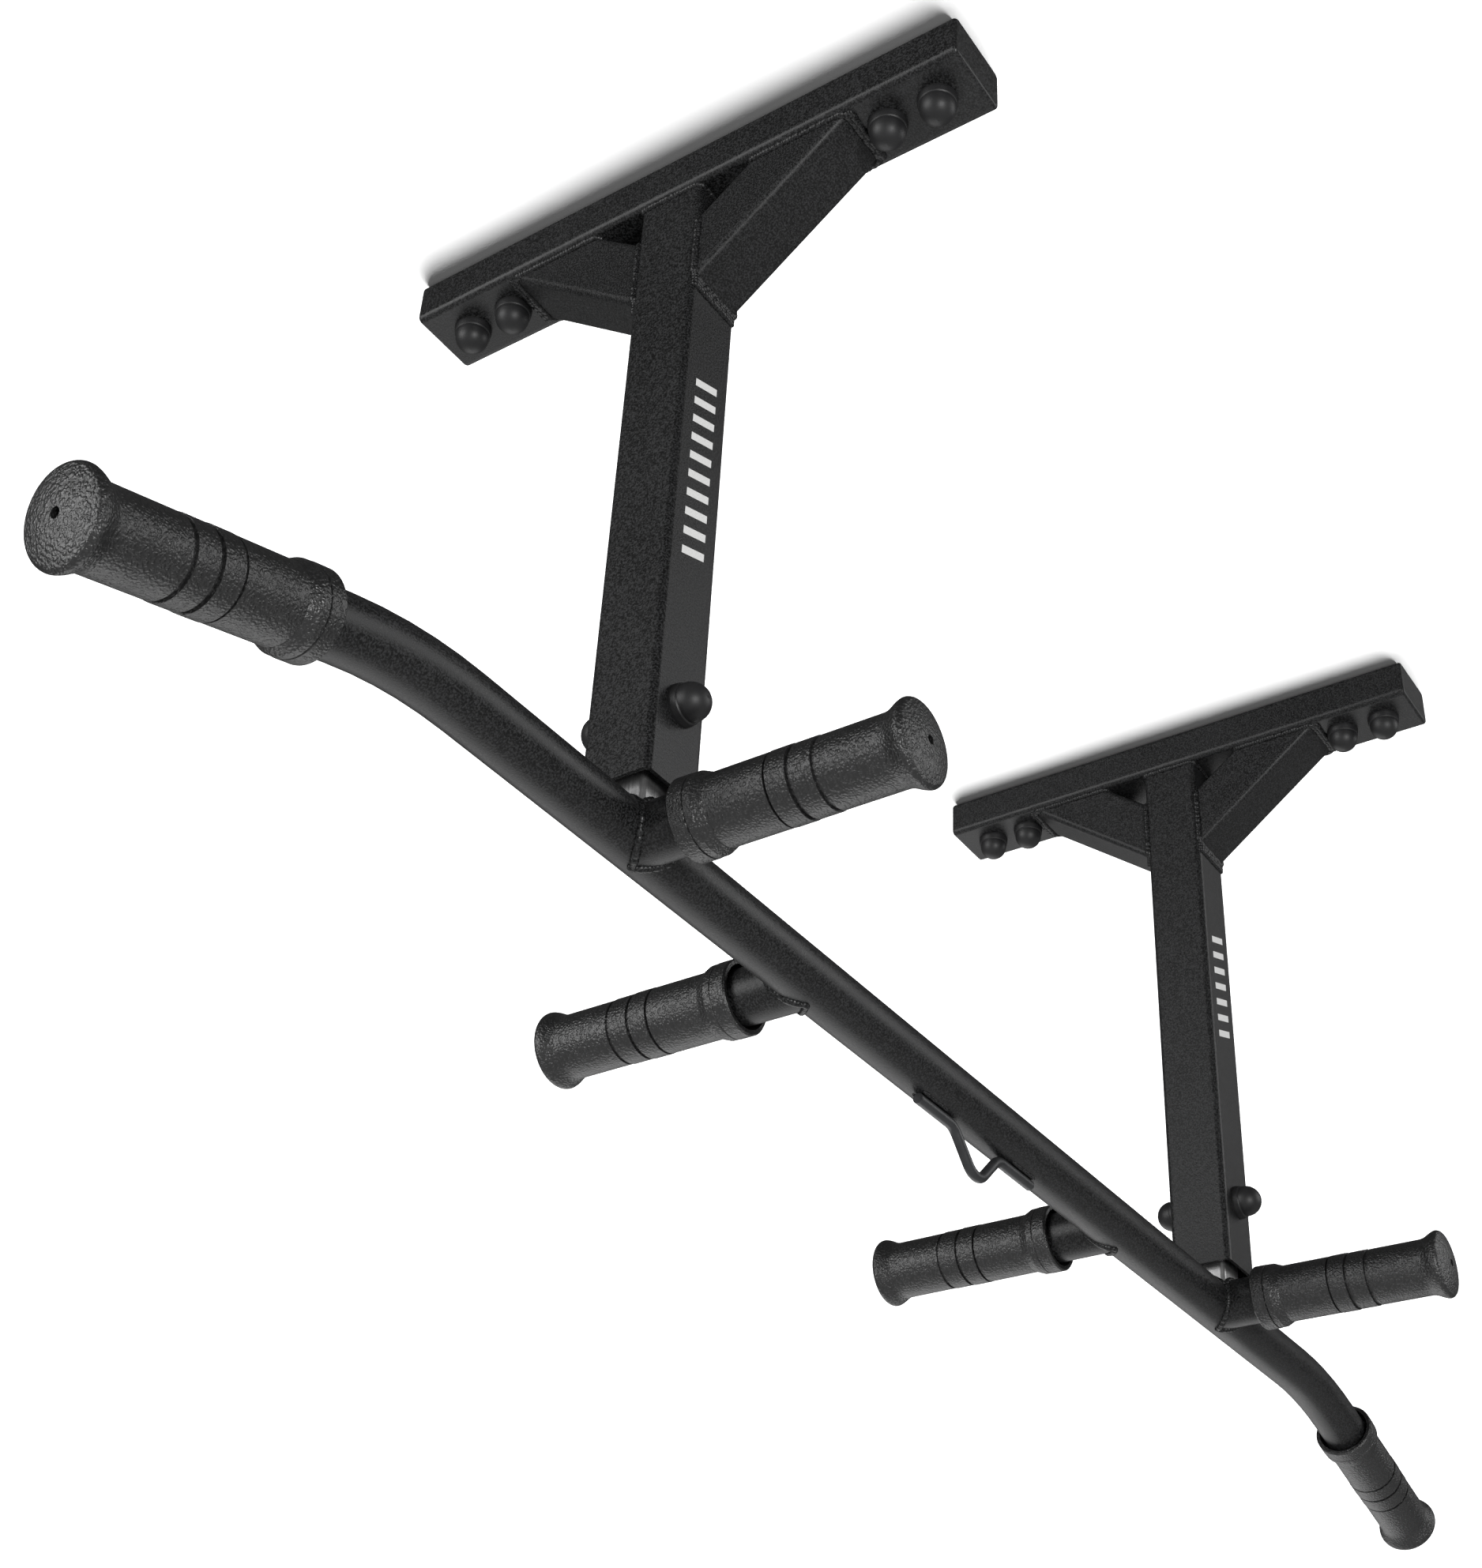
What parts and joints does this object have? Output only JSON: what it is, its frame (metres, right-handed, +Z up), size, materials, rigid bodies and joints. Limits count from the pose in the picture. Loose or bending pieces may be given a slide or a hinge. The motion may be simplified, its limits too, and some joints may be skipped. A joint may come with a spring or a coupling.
{
  "type": "pull-up bar",
  "caption": "Ceiling-mounted pull-up bar: a round bar with sloping ends and side handles in rubber grips, hung on braced square posts, with a hook for a punch bag.",
  "frame": {"origin": "on the ceiling plane, half way between the two brackets and half way along the ceiling beams", "axes": "+X along the bar, +Y to the rear (the side of the closer pair of handles), +Z up into the ceiling"},
  "size_m": [1.2968, 0.364, 0.5723],
  "materials": {
    "powder_coat": "fine textured satin powder coat",
    "hook_paint": "satin gunmetal paint",
    "galvanised": "dull galvanised",
    "grip_rubber": "pebbled matte rubber",
    "cap_plastic": "satin moulded plastic",
    "fastener": "zinc plated"
  },
  "bodies": {
    "root": {"ceiling_beam_left": "powder_coat", "ceiling_beam_right": "powder_coat", "beam_end_plates": "powder_coat", "post_left": "powder_coat", "post_right": "powder_coat", "brace_left_front": "powder_coat", "brace_left_rear": "powder_coat", "brace_right_front": "powder_coat", "brace_right_rear": "powder_coat", "weld_beads_bracket_left": "powder_coat", "weld_beads_bracket_right": "powder_coat", "stub_tube_left": "galvanised", "stub_tube_right": "galvanised", "pull_up_bar": "powder_coat", "handle_tube_left_front": "powder_coat", "handle_tube_left_rear": "powder_coat", "handle_tube_right_front": "powder_coat", "handle_tube_right_rear": "powder_coat", "weld_beads_bar": "powder_coat", "bag_hook": "hook_paint", "grip_left_end": "grip_rubber", "grip_left_front": "grip_rubber", "grip_left_rear": "grip_rubber", "grip_right_end": "grip_rubber", "grip_right_front": "grip_rubber", "grip_right_rear": "grip_rubber", "through_bolts": "fastener", "through_nuts": "fastener", "ceiling_anchors": "fastener", "cap_bases": "cap_plastic", "cap_domes": "cap_plastic"}
  },
  "joints": []
}
